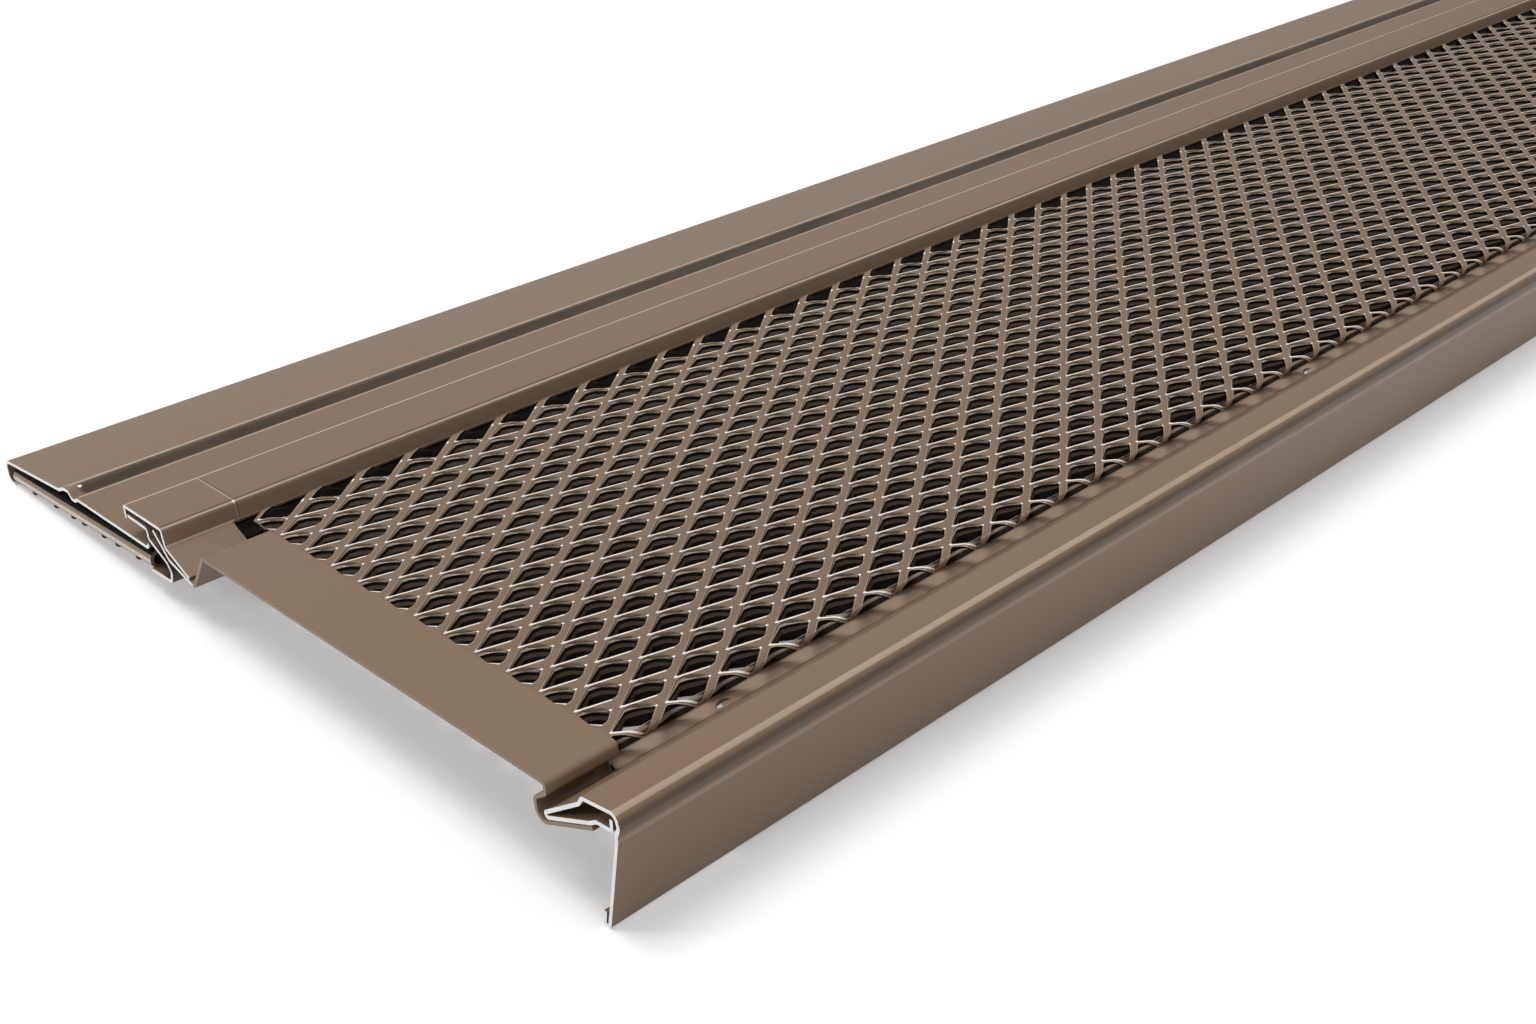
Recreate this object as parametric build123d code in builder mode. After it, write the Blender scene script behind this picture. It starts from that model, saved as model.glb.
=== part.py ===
from build123d import *
import os
from math import asin, atan2, cos, hypot, radians, sin, tan

# Gutter guard: a raised expanded-metal screen between a folded front nose, which sits on
# the lip of an eaves gutter, and a flat rear flange, which slides under the roof edge.
# Every sheet is rolled strip, drawn as the centreline of its section and run along X.
# Section coordinates are (u, v): u from the screen's front edge to the rear, v up from
# the screen's top face. Millimetres.

os.makedirs("parts", exist_ok=True)

# Stock
length = 914.4
sheet = 0.6
seat = 0.15                 # air between two strips that lie on each other
bend = 0.7                  # centreline radius of an ordinary bend
tight = 0.4                 # centreline radius of a closed fold
wide = 1.5                  # centreline radius of a rolled edge

# Screen
screen_depth = 87.4         # from its front bend to its rear bend
margin = 12.2               # plain strip left at each end
front_drop = 2.0            # of the screen's front edge down to its waist
waist_drop = 3.7            # from the screen's top down to its catch
catch_place = 2.4           # how far behind its front bend the screen's catch bulges
catch_bulge = 0.4
tail_reach = 0.5            # how far the screen's front tail passes the nose's jog
riser_run = 4.9             # how far the rear riser leans back
valley_depth = 7.3
catch_height = 6.3          # from the valley up to the end of the screen's rear tail
tail_step = 0.6
tail_fall = 2.2             # how far the tail's knee lies below the rail's wall
tail_run = 3.4

# Expanded mesh
bays = 10
columns = 9                 # openings along one bay
rows = 12                   # openings across the flat field
ramp_rows = 1.5             # openings down the field's rear ramp
mesh_front = 2.2
mesh_bend = 93.0            # where the field bends down to the rail
mesh_drop = 4.9             # how low its rear end lies
strand = 1.5                # width of a strand, seen from above
mesh_depth = 2.2            # height that the raised strands take up
strand_lean = 25            # degrees that the strands lean to the front as they go down
border = 0.5                # solid strip along the front and rear of the field

# Front nose
nose_front = 14.4
nose_round = 1.2
front_lean = 0.5            # how far the nose's top bend lies behind its lower one
chin_drop = 1.0
inner_inset = 1.3           # of the inner flange behind the nose's front
inner_gap = 0.4
nose_step = 7.5
step_run = 0.8
nose_rise = 1.3
nose_camber = 0.8
lip_seat = 0.8              # depth of the face that rests on the gutter lip
lip_seat_run = 3.1
lip_seat_fall = 0.25
jog_place = 8.7             # where the lower layer steps down over the screen's tail
tip_place = 0.6
tip_depth = 5.85            # depth of the nose's rear fold, lower layer
tip_height = 0.86
lower_slope = 0.4245        # rise of the lower layer for each millimetre to the front
ramp_slope = 0.69           # rise of the upper layer
skirt_place = 0.9           # how far the skirt steps back behind the nose
skirt_head = 1.75
skirt_drop = 17.4
skirt_lean = 2.7
hem_gap = 0.95
hem_leaf = 2.2

# Rear rail
rail_front = 100.8
rail_rear = 113.4
rail_rise = 0.2
rail_lip = 2.3
wall_drop = 3.2
wall_lean = 0.4
toe_drop = 6.4              # how low the rail's toe reaches into the valley
toe_place = 1.3             # how far behind the valley it ends

# Rear flange
flange_rear = 163.7
flange_top = 5.5
flange_gap = 4.0            # between the centrelines of its two leaves at the front
flange_fall = 2.5           # how much the rear edge lies below the front one
hook_drop = 1.6             # of the flange's hook below the rail's top
hook_reach = 6.7
hook_fall = 0.2
web_drop = 1.8
web_lean = 0.1
knee_run = 0.4
knee_drop = 2.8
heel_run = 0.7
heel_drop = 4.4
groove_place = 134.2        # front edge of the groove's floor
groove_floor = 1.2
groove_flank = 1.2
groove_depth = 0.6
bead_rise = 0.7
bead_width = 1.8
bead_back = 2.2
lip_curl = 0.8              # how far the top leaf's front edge turns up
lip_run = 0.8
lip_place = 0.5             # of that edge behind the web
curl_radius = 1.4           # centreline radius of the lower leaf's rolled ends


def bend_centre(before, corner, after, radius):
    """Centre of the arc that rounds one corner of a centreline."""
    back = (Vector(*before) - Vector(*corner)).normalized()
    ahead = (Vector(*after) - Vector(*corner)).normalized()
    half = radians(back.get_angle(ahead)) / 2
    return Vector(*corner) + (back + ahead).normalized() * (radius / sin(half))


def lower_layer(place, below=0.0):
    """A point of the nose's lower layer, or of the screen's tail that lies below it."""
    return (place, lower_slope * (tip_place - place) - tip_depth - below)


# Nose: inner flange, lip seat, jog, lower layer, rear fold, ramp, step, top, front, skirt, hem
inner_place = inner_inset - nose_front
skirt_top = (skirt_place - nose_front, -skirt_head)
skirt_foot = (skirt_top[0] + skirt_lean, -skirt_drop)
skirt_way = (Vector(*skirt_foot) - Vector(*skirt_top)).normalized()
hem_way = Vector(-skirt_way.Y, skirt_way.X)
hem_inner = Vector(*skirt_foot) + hem_way * hem_gap
hem_end = hem_inner - skirt_way * hem_leaf
ramp_foot = (tip_place, tip_height - tip_depth)
step_place = step_run - nose_step
step_foot = (step_place, ramp_foot[1] + ramp_slope * (tip_place - step_place))
nose_line = [
    (inner_place, nose_rise - inner_gap),
    (inner_place, -lip_seat),
    (inner_place + lip_seat_run, -lip_seat - lip_seat_fall),
    lower_layer(-jog_place),
    lower_layer(tip_place),
    ramp_foot,
    step_foot,
    (-nose_step, nose_rise),
    (front_lean - nose_front, nose_rise + nose_camber),
    (-nose_front, -chin_drop),
    skirt_top,
    skirt_foot,
    (hem_inner.X, hem_inner.Y),
    (hem_end.X, hem_end.Y),
]
hem_bend = 0.46
nose_bends = [tight] * 7 + [nose_round, tight, tight, hem_bend, hem_bend]

# Screen: front tail under the nose, catch round the nose's fold, top, riser, valley, rear tail
tail_drop = (sheet + seat) * hypot(1, lower_slope)
valley = (screen_depth + riser_run, -valley_depth)
wall_foot = (rail_front - wall_lean, rail_rise - wall_drop)
tail_foot = (wall_foot[0] - tail_step, wall_foot[1] - tail_fall)
tail_head = (wall_foot[0] + tail_run, catch_height - valley_depth)
screen_line = [
    lower_layer(-jog_place - tail_reach, tail_drop),
    lower_layer(catch_place, tail_drop),
    (catch_place + catch_bulge, -waist_drop),
    (sheet / 2, -front_drop),
    (sheet / 2, -sheet / 2),
    (screen_depth, -sheet / 2),
    valley,
    tail_foot,
    tail_head,
]
screen_bends = [wide, nose_round] + [bend] * 5

# Rail: lip, top, wall, toe in the valley
rail_line = [
    (rail_rear, rail_rise - rail_lip),
    (rail_rear, rail_rise),
    (rail_front, rail_rise),
    wall_foot,
    (valley[0] + toe_place, rail_rise - toe_drop),
]
rail_bends = [tight, bend, bend]

# Flange: hook under the rail, web, lower leaf, rear fold, top leaf with bead and groove
hook_height = rail_rise - hook_drop
web_place = rail_rear - hook_reach - sheet
leaf_front = wall_foot[0] + 0.2
leaf_slope = flange_fall / (flange_rear - leaf_front)
groove_back = groove_place + groove_floor
bead_front = groove_back + groove_flank
bead_end = bead_front + bead_width


def lower_leaf(place):
    """A point of the flange's lower leaf, which falls towards the rear."""
    return (place, -flange_top - flange_gap - leaf_slope * (place - leaf_front))


def top_leaf(place, lift=0.0):
    """A point of the top leaf, which falls towards the rear behind its groove."""
    return (place, lift - flange_top - 2 * leaf_slope * max(0.0, place - groove_place))


flange_line = [
    (rail_rear - sheet - seat, hook_height),
    (web_place, hook_height - hook_fall),
    (web_place + web_lean, hook_height - hook_fall - web_drop),
    (leaf_front + knee_run, hook_height - web_drop - knee_drop),
    (leaf_front - heel_run, hook_height - web_drop - heel_drop),
    lower_leaf(leaf_front),
    lower_leaf(flange_rear),
    top_leaf(flange_rear),
    top_leaf(bead_end + bead_back),
    top_leaf(bead_end, bead_rise),
    top_leaf(bead_front, bead_rise),
    top_leaf(groove_back, -groove_depth),
    top_leaf(groove_place, -groove_depth),
    top_leaf(groove_place - groove_flank),
    top_leaf(web_place + lip_place + lip_run),
    top_leaf(web_place + lip_place, lip_curl),
]
flange_bends = [bend] * 4 + [tight, wide, wide] + [tight] * 7

# Resting attitude: the guard stands on its skirt hem and on the flange's rear fold
hem_centre = bend_centre(skirt_top, skirt_foot, nose_line[12], hem_bend)
hem_round = hem_bend + sheet / 2
heel_centre = bend_centre(flange_line[5], flange_line[6], flange_line[7], wide)
heel_round = wide + sheet / 2
stance = heel_centre - hem_centre
tilt = atan2(stance.Y, stance.X) - asin((heel_round - hem_round) / stance.length)


def level(point):
    """A section point turned into the resting attitude."""
    return Vector(point.X * cos(tilt) + point.Y * sin(tilt), point.Y * cos(tilt) - point.X * sin(tilt))


front_bend = bend_centre(nose_line[8], nose_line[9], nose_line[10], tight)
rear_bend = bend_centre(flange_line[6], flange_line[7], flange_line[8], wide)
front_reach = level(front_bend).X - tight - sheet / 2
rear_reach = level(rear_bend).X + heel_round
corner = (-length / 2, -(front_reach + rear_reach) / 2, hem_round - level(hem_centre).Y)
across = Plane(origin=corner, x_dir=(0, cos(tilt), -sin(tilt)), z_dir=(1, 0, 0))
panel = Plane(origin=corner, x_dir=(1, 0, 0), z_dir=across.y_dir)

# Front nose with skirt
with BuildPart() as front_nose:
    with BuildSketch(across):
        with BuildLine():
            FilletPolyline(*nose_line, radius=nose_bends)
        trace(line_width=sheet)
    extrude(amount=length)
front_nose.part.label = "front_nose"
export_step(front_nose.part, "parts/front_nose.step")

# Rear rail, whose toe is left only beside the screen's plain margins
field_length = length - 2 * margin
with BuildPart() as rear_rail:
    with BuildSketch(across):
        with BuildLine():
            FilletPolyline(*rail_line, radius=rail_bends)
        trace(line_width=sheet)
    extrude(amount=length)
    with BuildSketch(across.offset(margin)):
        with Locations((rail_front + sheet, wall_foot[1] - sheet / 2)):
            Rectangle(2 * riser_run + sheet, toe_drop, align=(Align.MAX, Align.MAX))
    extrude(amount=field_length, mode=Mode.SUBTRACT)
rear_rail.part.label = "rear_rail"
export_step(rear_rail.part, "parts/rear_rail.step")

# Rear flange, whose lower leaf is rolled up at both ends
curl_start = web_place + bend + sheet
curl_end = flange_rear - wide - sheet
leaf_across = Plane(
    origin=across.from_local_coords(Vector(*lower_leaf(curl_start))),
    x_dir=(1, 0, 0),
    z_dir=across.from_local_coords(Vector(*lower_leaf(curl_end)))
    - across.from_local_coords(Vector(*lower_leaf(curl_start))),
)
curl_run = (curl_end - curl_start) * hypot(1, leaf_slope)
curl_out = curl_radius + sheet / 2
with BuildPart() as rear_flange:
    with BuildSketch(across):
        with BuildLine():
            FilletPolyline(*flange_line, radius=flange_bends)
        trace(line_width=sheet)
    extrude(amount=length)
    with BuildSketch(leaf_across):
        Rectangle(curl_out, 2 * sheet, align=(Align.MIN, Align.CENTER))
        with Locations((length - curl_out, 0)):
            Rectangle(curl_out, 2 * sheet, align=(Align.MIN, Align.CENTER))
    extrude(amount=curl_run, mode=Mode.SUBTRACT)
    with BuildSketch(leaf_across):
        with Locations((curl_out, -curl_radius), (length - curl_out, -curl_radius)):
            Circle(curl_out)
            Circle(curl_radius - sheet / 2, mode=Mode.SUBTRACT)
        with Locations((length / 2, -curl_radius)):
            Rectangle(length - 2 * curl_out, 2 * curl_out, mode=Mode.SUBTRACT)
    extrude(amount=curl_run)
rear_flange.part.label = "rear_flange"
export_step(rear_flange.part, "parts/rear_flange.step")

# Screen's plain edges: its window has leaning sides, as the mesh's strands have
lean = tan(radians(strand_lean))
ramp_end = tail_foot[0] - border
window_floor = -valley_depth - sheet
with BuildPart() as screen_frame:
    with BuildSketch(across):
        with BuildLine():
            FilletPolyline(*screen_line, radius=screen_bends)
        trace(line_width=sheet)
    extrude(amount=length)
    with BuildSketch(across.offset(margin)):
        with BuildLine():
            Polyline(
                (mesh_front + sheet * lean, sheet),
                (mesh_front - sheet * lean, -sheet),
                (mesh_front, -2 * sheet),
                (screen_depth - riser_run, -2 * sheet),
                (screen_depth - riser_run, window_floor),
                (ramp_end + (window_floor + mesh_drop) * lean, window_floor),
                (ramp_end + sheet * lean, sheet - mesh_drop),
                (mesh_bend, sheet),
                close=True,
            )
        make_face()
    extrude(amount=field_length, mode=Mode.SUBTRACT)
screen_frame.part.label = "screen_frame"
export_step(screen_frame.part, "parts/screen_frame.step")

# Expanded mesh: diamond openings in two staggered sets, with strands that lean to the front
bay_length = field_length / bays
flat_start = mesh_front + border
flat_depth = mesh_bend - flat_start
pitch_long = bay_length / columns
pitch_short = flat_depth / rows
half_long = pitch_long / 2
half_short = pitch_short / 2
inset = strand / 2 * hypot(half_long, half_short) / (half_long * half_short)
open_long = half_long * (1 - inset)
open_short = half_short * (1 - inset)
ramp_depth = hypot(ramp_end - mesh_bend, mesh_drop)
ramp_pitch = (ramp_depth - border) / ramp_rows
ramp_plane = Plane(
    origin=panel.from_local_coords(Vector(0, mesh_bend, 0)),
    x_dir=(1, 0, 0),
    z_dir=panel.z_dir * (ramp_end - mesh_bend) + panel.y_dir * mesh_drop,
)


def diamond(height):
    """One opening of the mesh."""
    Polygon((open_long, 0), (0, height), (-open_long, 0), (0, -height), align=None)


with BuildSketch(panel) as flat_openings:
    with Locations((margin + bay_length / 2, flat_start + flat_depth / 2)):
        with GridLocations(pitch_long, pitch_short, columns, rows + 1):
            diamond(open_short)
        with GridLocations(pitch_long, pitch_short, columns + 1, rows):
            diamond(open_short)
        Rectangle(bay_length + pitch_long, flat_depth, mode=Mode.INTERSECT)

with BuildSketch(ramp_plane) as ramp_openings:
    with Locations((margin + bay_length / 2, ramp_pitch / 2)):
        with GridLocations(pitch_long, ramp_pitch, columns, 2):
            diamond(open_short)
    with Locations((margin + bay_length / 2, ramp_pitch)):
        with GridLocations(pitch_long, ramp_pitch, columns + 1, 2):
            diamond(open_short)
    with Locations((margin + bay_length / 2, 0)):
        Rectangle(
            bay_length + pitch_long, ramp_depth - border, align=(Align.CENTER, Align.MIN), mode=Mode.INTERSECT
        )

with BuildPart() as first_bay:
    with BuildSketch(panel):
        with Locations((margin, mesh_front)):
            Rectangle(bay_length, mesh_bend - mesh_front, align=Align.MIN)
        add(flat_openings.sketch_local, mode=Mode.SUBTRACT)
    with BuildSketch(ramp_plane):
        with Locations((margin, 0)):
            Rectangle(bay_length, ramp_depth, align=Align.MIN)
        add(ramp_openings.sketch_local, mode=Mode.SUBTRACT)
    extrude(amount=mesh_depth * hypot(1, lean), dir=-(panel.z_dir + panel.y_dir * lean))

for bay in range(bays):
    with BuildPart() as mesh_bay:
        with Locations((bay * bay_length, 0, 0)):
            add(first_bay.part, clean=False)
    name = f"mesh_bay_{bay + 1}"
    mesh_bay.part.label = name
    export_step(mesh_bay.part, f"parts/{name}.step")
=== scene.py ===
"""Gutter guard: the looks of its rolled strips and of its raised expanded screen.

Every rolled piece is one strip of painted sheet, drawn as the centreline of its section and
carried along the guard. The screen's field is a lattice of diamond openings whose strands hang
down and to the front, laid over the section line that the screen follows.
Section coordinates are (u, v) in millimetres: u from the screen's front edge to the rear and
v up from the screen's top face. World coordinates are metres.
"""

import logging
import math
from dataclasses import dataclass
from enum import Enum, IntEnum
from functools import cache

import bpy
import numpy as np
from mathutils import Matrix, Vector

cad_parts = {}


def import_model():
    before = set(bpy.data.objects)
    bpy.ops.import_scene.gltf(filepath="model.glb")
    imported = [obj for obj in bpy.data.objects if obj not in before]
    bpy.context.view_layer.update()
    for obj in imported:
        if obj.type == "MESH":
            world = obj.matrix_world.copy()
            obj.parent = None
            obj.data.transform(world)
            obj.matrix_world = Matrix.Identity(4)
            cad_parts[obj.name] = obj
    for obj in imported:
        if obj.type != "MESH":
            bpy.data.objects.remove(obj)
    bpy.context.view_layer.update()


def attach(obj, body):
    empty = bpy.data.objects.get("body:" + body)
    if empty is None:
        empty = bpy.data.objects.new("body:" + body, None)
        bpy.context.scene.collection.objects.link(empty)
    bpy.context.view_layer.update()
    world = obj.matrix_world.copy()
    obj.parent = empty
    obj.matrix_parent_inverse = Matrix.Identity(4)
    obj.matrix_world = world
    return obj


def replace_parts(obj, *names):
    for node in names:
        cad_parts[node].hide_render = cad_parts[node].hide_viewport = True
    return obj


log = logging.getLogger("gutter_guard")

MM = 0.001  # metres in a millimetre
LENGTH = 914.4  # of the guard, mm
SHEET = 0.6  # thickness of the rolled strip, mm
LEAF = (107.4, 161.6)  # where the flange's lower leaf is flat, from and to, u in mm

# Texture of the finishes, in features for each metre
CLOUD, SMEAR, PATCH, PEEL, SPECK, SHEAR = 9.0, 60.0, 160.0, 1900.0, 2600.0, 5200.0
PEEL_HEIGHT, SHEAR_HEIGHT = 0.000004, 0.00001  # metres
LINE_FALL = 2.5  # a line's colour falls off over 1 / 2.5 of its radius
SPOT_FALL = 3.0  # a spot's colour falls off over 1 / 3 of its reach
END_FADE = 1600.0  # how steeply a line stops beside the guard's end, for each metre
LANCES = 153.9  # spacing of the lance marks, mm

# Colours, linear: the paint, painted highlights, painted shade in creases, grooves and hollows,
# painted glints, and white
TAUPE, HIGHLIGHT, SHADE = (0.244, 0.162, 0.105), (0.62, 0.52, 0.43), (0.05, 0.035, 0.022)
GLINT, WHITE = (0.95, 0.94, 0.92), (1.0, 1.0, 1.0, 1.0)

Point = tuple[float, float]
Triple = tuple[float, float, float]
Array = np.ndarray
Values = float | np.ndarray
Socket = bpy.types.NodeSocket
Material = bpy.types.Material
Piece = bpy.types.Object


class Slot(Enum):
    """The record's material slots."""

    NOSE = "nose_strip"
    SCREEN = "screen_strip"
    RAIL = "rail_strip"
    FLANGE = "flange_strip"
    MESH = "mesh_strands"


class Look(IntEnum):
    """The strands' finishes, in the order of their pieces' materials."""

    PAINT = 0
    # the sheared edge, made near white as a painted highlight
    EDGE = 1
    # bare metal at the pinched corners, made white as a painted glint
    CORNER = 2
    # painted shade down the strands' sides
    SIDE = 3
    # painted near-black shade deep inside the openings
    DEPTH = 4
    # lighter paint as a painted highlight
    CREST = 5


@dataclass(frozen=True)
class Attitude:
    """How the section lies in the world: turned about X, then moved to where it rests.

    Attributes:
        tilt: the turn, radians.
        shift_y, shift_z: how far it moves to the rear and up, mm.
    """

    tilt: float = math.radians(1.787941839)
    shift_y: float = -74.47254
    shift_z: float = 17.29502

    def world(self, x: Values, u: Values, v: Values) -> Array:
        """World point of a place on the guard.

        The section's (u, v) are turned by the tilt about X, then moved; millimetres become metres.

        Args:
            x: along the guard, mm.
            u: section coordinate to the rear, mm.
            v: section coordinate up, mm.

        Returns:
            Points in metres, with a last axis of three.
        """
        c, s = math.cos(self.tilt), math.sin(self.tilt)
        x, u, v = np.broadcast_arrays(x, u, v)
        y, z = self.shift_y + u * c + v * s, self.shift_z - u * s + v * c
        return MM * np.stack([x, y, z], axis=-1)


ATTITUDE = Attitude()


# ---- finishes


def opaque(colour: Triple | Array) -> tuple[float, ...]:
    """The colour with an alpha of 1."""
    return (*colour, 1.0)


class Nodes:
    """A short way to wire the nodes of one material or world."""

    def __init__(self, owner: bpy.types.ID) -> None:
        """Start with no nodes.

        Args:
            owner: the material or world.
        """
        owner.use_nodes = True
        self.owner = owner
        self.tree = owner.node_tree
        self.tree.nodes.clear()

    def feed(self, sockets: object, values: object) -> None:
        """Link each output to its input, or give the input its plain value.

        Args:
            sockets: the inputs.
            values: for each an output socket, a number or a colour.
        """
        for socket, value in zip(sockets, values):
            if isinstance(value, Socket):
                self.tree.links.new(value, socket)
            else:
                socket.default_value = value

    def add(self, kind: str, *firsts: object, **inputs: object) -> bpy.types.Node:
        """Add a node and feed its inputs.

        Args:
            kind: the node's type name, after ShaderNode.
            firsts: what its first inputs get.
            inputs: what other inputs get, by name with spaces as underscores.

        Returns:
            The new node.
        """
        node = self.tree.nodes.new("ShaderNode" + kind)
        self.feed(node.inputs, firsts)
        self.feed([node.inputs[name.replace("_", " ")] for name in inputs], inputs.values())
        return node

    def math(self, operation: str, *values: object) -> Socket:
        """One step of arithmetic.

        Args:
            operation: the Math node's operation.
            values: its inputs in order, numbers or sockets.

        Returns:
            The result socket.
        """
        node = self.add("Math")
        node.operation = operation
        self.feed(node.inputs, values)
        return node.outputs[0]

    def unit(self, value: Socket) -> Socket:
        """Hold a value between 0 and 1."""
        return self.math("MAXIMUM", self.math("MINIMUM", value, 1.0), 0.0)

    def blend(self, factor: object, first: object, second: object) -> Socket:
        """Mix two colours.

        Args:
            factor: number or socket from 0 to 1.
            first: colour or socket at factor 0.
            second: colour or socket at factor 1.

        Returns:
            The mixed colour's socket.
        """
        node = self.add("Mix")
        node.data_type = "RGBA"
        self.feed([node.inputs[i] for i in (0, 6, 7)], (factor, first, second))
        return node.outputs[2]

    def place(self) -> Socket:
        """Object coordinates, which are the world's, in metres."""
        return self.add("TexCoord").outputs["Object"]

    def noise(self, scale: float, detail: float, stretch: Point | None = None) -> Socket:
        """Noise on Object coordinates.

        Args:
            scale: features for each metre.
            detail: octaves.
            stretch: factors along and across the guard, or None for even noise.

        Returns:
            The noise value's socket.
        """
        place = self.place()
        if stretch is not None:
            mapping = self.add("Mapping", Vector=place, Scale=(stretch[0], stretch[1], stretch[1]))
            place = mapping.outputs[0]
        return self.add("TexNoise", Vector=place, Scale=scale, Detail=detail).outputs[0]

    def finish(self, shader: bpy.types.Node, output: str = "OutputMaterial") -> bpy.types.ID:
        """Wire the shader to the output and give the material or world."""
        self.add(output, Surface=shader.outputs[0])
        return self.owner


@dataclass(frozen=True)
class Line:
    """A fine line along a strip: a painted highlight along a bend or edge, or painted shade in a
    crease, groove or hollow.

    Attributes:
        u, v: section coordinates of its middle, mm.
        radius: how far from there it reaches, mm.
        colour: its colour, linear.
        strength: how far the colour goes over the paint, 0 to 1.
        from_end: how far from each end of the guard its round tips lie, mm, or 0 for none.
        near_end: how far from each end it is left at all, mm, or 0 for everywhere.
    """

    u: float
    v: float
    radius: float
    colour: Triple
    strength: float = 0.7
    from_end: float = 0.0
    near_end: float = 0.0


@dataclass(frozen=True)
class Spot:
    """A small oval mark on a strip: a painted glint, or a painted highlight or painted shade,
    alone or recurring.

    Attributes:
        x: distance of its middle from the near end, mm.
        u, v: section coordinates of its middle, mm.
        reach: half its length along the guard and half its width across it, mm.
        colour: its colour, linear.
        strength: how far the colour goes over the paint, 0 to 1.
        pitch: spacing at which it recurs along the guard, mm, or 0 for one alone.
    """

    x: float
    u: float
    v: float
    reach: Point
    colour: Triple
    strength: float = 1.0
    pitch: float = 0.0


@dataclass(frozen=True)
class PaintedStrip:
    """Baked satin paint on rolled aluminium strip.

    Attributes:
        name: the material's name.
        colour: the paint's colour, linear.
        spread: how far mottling takes the colour down and up.
        roughness: of the paint.
        shine: strength of its clear reflection, 0.5 for common paint.
        lines: fine lines along the strip, of painted highlight and painted shade.
        spots: small marks of painted glint, highlight and shade, laid over the lines.
    """

    name: str
    colour: Triple
    spread: float = 0.06
    roughness: float = 0.38
    shine: float = 0.5
    lines: tuple[Line, ...] = ()
    spots: tuple[Spot, ...] = ()

    def across(self, n: Nodes, u: float, v: float) -> tuple[Socket, Socket]:
        """Measure along the guard, and across its section from one place.

        Args:
            n: the material's nodes.
            u, v: section coordinates of the place, mm.

        Returns:
            The place along the guard, and the squared distance across the section, metres.
        """
        middle = ATTITUDE.world(0.0, u, v)
        split = n.add("SeparateXYZ", n.place())
        back, up = (
            n.math("POWER", n.math("SUBTRACT", split.outputs[i], float(middle[i])), 2.0)
            for i in (1, 2)
        )
        return split.outputs[0], n.math("ADD", back, up)

    def spot(self, n: Nodes, spot: Spot, colour: Socket) -> Socket:
        """Lay one small mark over the colour.

        With d the distance from its middle, measured in its own half length and half width, its
        share is 3 - 3 d, held between 0 and 1.

        Args:
            n: the material's nodes.
            spot: the mark.
            colour: the colour under it.

        Returns:
            The colour with the mark.
        """
        along, away = self.across(n, spot.u, spot.v)
        along = n.math("SUBTRACT", along, (spot.x - LENGTH / 2) * MM)
        if spot.pitch:
            along = n.math("WRAP", along, spot.pitch / 2 * MM, -spot.pitch / 2 * MM)
        along = n.math("POWER", n.math("DIVIDE", along, spot.reach[0] * MM), 2.0)
        away = n.math("SQRT", n.math("MULTIPLY_ADD", away, (spot.reach[1] * MM) ** -2, along))
        share = n.unit(n.math("SUBTRACT", SPOT_FALL, n.math("MULTIPLY", away, SPOT_FALL)))
        return n.blend(n.math("MULTIPLY", share, spot.strength), colour, opaque(spot.colour))

    def line(self, n: Nodes, line: Line, colour: Socket) -> Socket:
        """Lay one fine line over the colour.

        Its share is 1 within 0.6 of the radius from the line's middle, measured across the
        section, and falls to 0 at the radius. Noise makes it patchy, from 0.7 to 1.3 of that.

        Args:
            n: the material's nodes.
            line: the line.
            colour: the colour under it.

        Returns:
            The colour with the line.
        """
        along, away = self.across(n, line.u, line.v)
        end = n.math("ABSOLUTE", along)
        if line.from_end:
            past = n.math("SUBTRACT", end, (LENGTH / 2 - line.from_end - line.radius) * MM)
            away = n.math("ADD", away, n.math("POWER", n.math("MAXIMUM", past, 0.0), 2.0))
        fall = n.math("MULTIPLY", n.math("SQRT", away), LINE_FALL / (line.radius * MM))
        share = n.unit(n.math("SUBTRACT", LINE_FALL, fall))
        if line.near_end:
            left = n.math("SUBTRACT", end, (LENGTH / 2 - line.near_end) * MM)
            share = n.math("MULTIPLY", share, n.unit(n.math("MULTIPLY", left, END_FADE)))
        patchy = n.math("MULTIPLY_ADD", n.noise(PATCH, 3.0, (0.3, 1.0)), 0.6, 0.7)
        share = n.math("MULTIPLY", share, n.math("MULTIPLY", patchy, line.strength))
        return n.blend(share, colour, opaque(line.colour))

    @cache
    def build(self) -> Material:
        """Build the node material, once.

        The colour drifts in large clouds and carries fine dark specks of dust, and lines and spots
        of painted highlight and painted shade. The roughness is smeared along the strip, and the
        bump is the paint's fine orange peel.

        Returns:
            The material.
        """
        n = Nodes(bpy.data.materials.new(self.name))
        base = np.array(self.colour)
        low, high = opaque(base * (1 - self.spread)), opaque(base * (1 + self.spread))
        colour = n.blend(n.noise(CLOUD, 3.0, (0.35, 1.0)), low, high)
        dust = n.math("MULTIPLY", n.math("SUBTRACT", n.noise(SPECK, 2.0), 0.45), 0.35)
        colour = n.blend(dust, colour, opaque(base * 0.82))
        for line in self.lines:
            colour = self.line(n, line, colour)
        for spot in self.spots:
            colour = self.spot(n, spot, colour)
        smear = n.noise(SMEAR, 4.0, (0.25, 1.0))
        rough = n.math("MULTIPLY_ADD", smear, 0.14, self.roughness - 0.07)
        peel = n.add("Bump", Height=n.noise(PEEL, 3.0), Distance=PEEL_HEIGHT, Strength=0.6)
        return n.finish(n.add(
            "BsdfPrincipled", Base_Color=colour, Roughness=rough, Normal=peel.outputs[0],
            Specular_IOR_Level=self.shine,
        ))


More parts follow.
